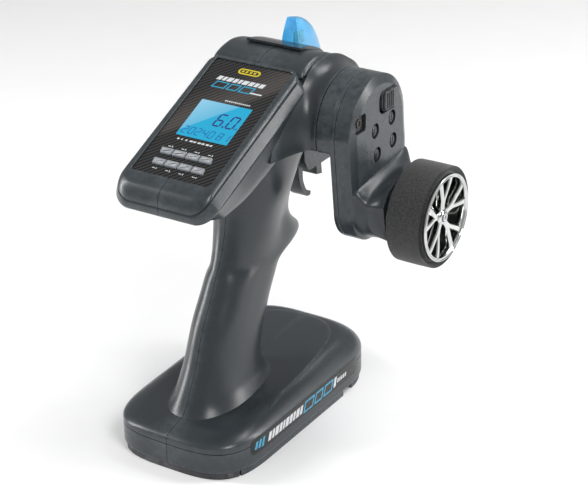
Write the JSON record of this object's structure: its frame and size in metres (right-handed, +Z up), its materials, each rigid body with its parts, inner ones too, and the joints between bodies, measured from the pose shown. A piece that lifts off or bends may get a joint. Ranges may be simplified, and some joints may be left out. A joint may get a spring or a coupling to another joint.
{
  "type": "radio transmitter",
  "caption": "Pistol-grip radio control transmitter: sloping display head, finger trigger, foam steering wheel on a side pod and a flat battery base.",
  "frame": {"origin": "centre of the underside of the base, on the split plane of the two shells", "axes": "+X to the user's right where the wheel is, +Y away from the user, +Z up"},
  "size_m": [0.1616, 0.179, 0.2385],
  "materials": {
    "shell_plastic": "satin anthracite moulding",
    "foot_plastic": "matte",
    "control_plastic": "satin black",
    "key_plastic": "silver grey",
    "label_film": "black woven-look film",
    "clear_window": "clear",
    "lcd_glass": "blue backlit",
    "board_green": "solder mask",
    "soft_rubber": "matte",
    "pad_plastic": "gloss black",
    "fin_clear": "translucent blue",
    "spring_metal": "plated",
    "black_parts": "moulded",
    "cell_jacket": "printed sleeve",
    "steel": "plated steel",
    "bearing_brass": "sintered bronze",
    "rim_chrome": "bright plated",
    "foam": "fine cell foam"
  },
  "bodies": {
    "frame": {"left_shell": "shell_plastic", "right_shell": "shell_plastic", "pod_inner_shell": "shell_plastic", "pod_outer_shell": "shell_plastic", "bottom_cover": "shell_plastic", "trigger_housing": "shell_plastic", "front_foot": "foot_plastic", "rear_foot": "foot_plastic", "display_panel": "label_film", "left_label": "label_film", "right_label": "label_film", "lcd_window": "clear_window", "status_led": "clear_window", "lcd_module": "lcd_glass", "main_board": "board_green", "radio_module": "board_green", "pod_board": "board_green", "keypad_mat": "soft_rubber", "grip_insert": "soft_rubber", "antenna_pad": "pad_plastic", "antenna_fin": "fin_clear", "antenna_element": "spring_metal", "battery_contacts": "spring_metal", "speaker": "black_parts", "steering_sensor": "black_parts", "trigger_sensor": "black_parts", "charging_socket": "black_parts", "battery_cells": "cell_jacket", "shell_screws": "steel", "pod_screws": "steel", "trigger_axle": "steel", "steering_spring": "steel", "trigger_spring": "steel", "outer_bush": "bearing_brass", "inner_bush": "bearing_brass"},
    "key_1": {"key_1": "key_plastic"},
    "key_2": {"key_2": "key_plastic"},
    "key_3": {"key_3": "key_plastic"},
    "key_4": {"key_4": "key_plastic"},
    "key_5": {"key_5": "key_plastic"},
    "key_6": {"key_6": "key_plastic"},
    "key_7": {"key_7": "key_plastic"},
    "key_8": {"key_8": "key_plastic"},
    "trim_1": {"trim_button_1": "control_plastic"},
    "trim_2": {"trim_button_2": "control_plastic"},
    "trim_3": {"trim_button_3": "control_plastic"},
    "trim_4": {"trim_button_4": "control_plastic"},
    "thumb": {"thumb_switch": "control_plastic"},
    "square": {"side_button": "control_plastic"},
    "power": {"power_switch": "control_plastic"},
    "door": {"battery_door": "shell_plastic"},
    "wheel": {"wheel_rim": "rim_chrome", "foam_tyre": "foam", "wheel_screw": "steel", "steering_shaft": "steel"},
    "trigger_arm": {"trigger": "control_plastic"}
  },
  "joints": [
    {"name": "key_1_press", "type": "slide", "parent": "frame", "child": "key_1", "axis": [0, 0.4019, -0.9157], "range_m": [0, 0.0006], "stiffness_N_per_m": 300},
    {"name": "key_2_press", "type": "slide", "parent": "frame", "child": "key_2", "axis": [0, 0.4019, -0.9157], "range_m": [0, 0.0006], "stiffness_N_per_m": 300},
    {"name": "key_3_press", "type": "slide", "parent": "frame", "child": "key_3", "axis": [0, 0.4019, -0.9157], "range_m": [0, 0.0006], "stiffness_N_per_m": 300},
    {"name": "key_4_press", "type": "slide", "parent": "frame", "child": "key_4", "axis": [0, 0.4019, -0.9157], "range_m": [0, 0.0006], "stiffness_N_per_m": 300},
    {"name": "key_5_press", "type": "slide", "parent": "frame", "child": "key_5", "axis": [0, 0.4019, -0.9157], "range_m": [0, 0.0006], "stiffness_N_per_m": 300},
    {"name": "key_6_press", "type": "slide", "parent": "frame", "child": "key_6", "axis": [0, 0.4019, -0.9157], "range_m": [0, 0.0006], "stiffness_N_per_m": 300},
    {"name": "key_7_press", "type": "slide", "parent": "frame", "child": "key_7", "axis": [0, 0.4019, -0.9157], "range_m": [0, 0.0006], "stiffness_N_per_m": 300},
    {"name": "key_8_press", "type": "slide", "parent": "frame", "child": "key_8", "axis": [0, 0.4019, -0.9157], "range_m": [0, 0.0006], "stiffness_N_per_m": 300},
    {"name": "trim_1_press", "type": "slide", "parent": "frame", "child": "trim_1", "axis": [-1, 0, 0], "range_m": [0, 0.0008], "stiffness_N_per_m": 300},
    {"name": "trim_2_press", "type": "slide", "parent": "frame", "child": "trim_2", "axis": [-1, 0, 0], "range_m": [0, 0.0008], "stiffness_N_per_m": 300},
    {"name": "trim_3_press", "type": "slide", "parent": "frame", "child": "trim_3", "axis": [-1, 0, 0], "range_m": [0, 0.0008], "stiffness_N_per_m": 300},
    {"name": "trim_4_press", "type": "slide", "parent": "frame", "child": "trim_4", "axis": [-1, 0, 0], "range_m": [0, 0.0008], "stiffness_N_per_m": 300},
    {"name": "square_press", "type": "slide", "parent": "frame", "child": "square", "axis": [-1, 0, 0], "range_m": [0, 0.0008], "stiffness_N_per_m": 300},
    {"name": "thumb_slide", "type": "slide", "parent": "frame", "child": "thumb", "axis": [0, -1, 0], "range_m": [0, 0.004]},
    {"name": "power_slide", "type": "slide", "parent": "frame", "child": "power", "axis": [0, 1, 0], "range_m": [0, 0.003]},
    {"name": "door_slide", "type": "slide", "parent": "frame", "child": "door", "axis": [0, 1, 0], "range_m": [0, 0.009]},
    {"name": "wheel_turn", "type": "hinge", "parent": "frame", "child": "wheel", "pos_m": [0.1, 0.0435, 0.1403], "axis": [1, 0, 0], "range_deg": [-36, 36], "stiffness_Nm_per_rad": 0.08},
    {"name": "trigger_pull", "type": "hinge", "parent": "frame", "child": "trigger_arm", "pos_m": [0, 0.068, 0.155], "axis": [-1, 0, 0], "range_deg": [-10, 18], "stiffness_Nm_per_rad": 0.1}
  ]
}
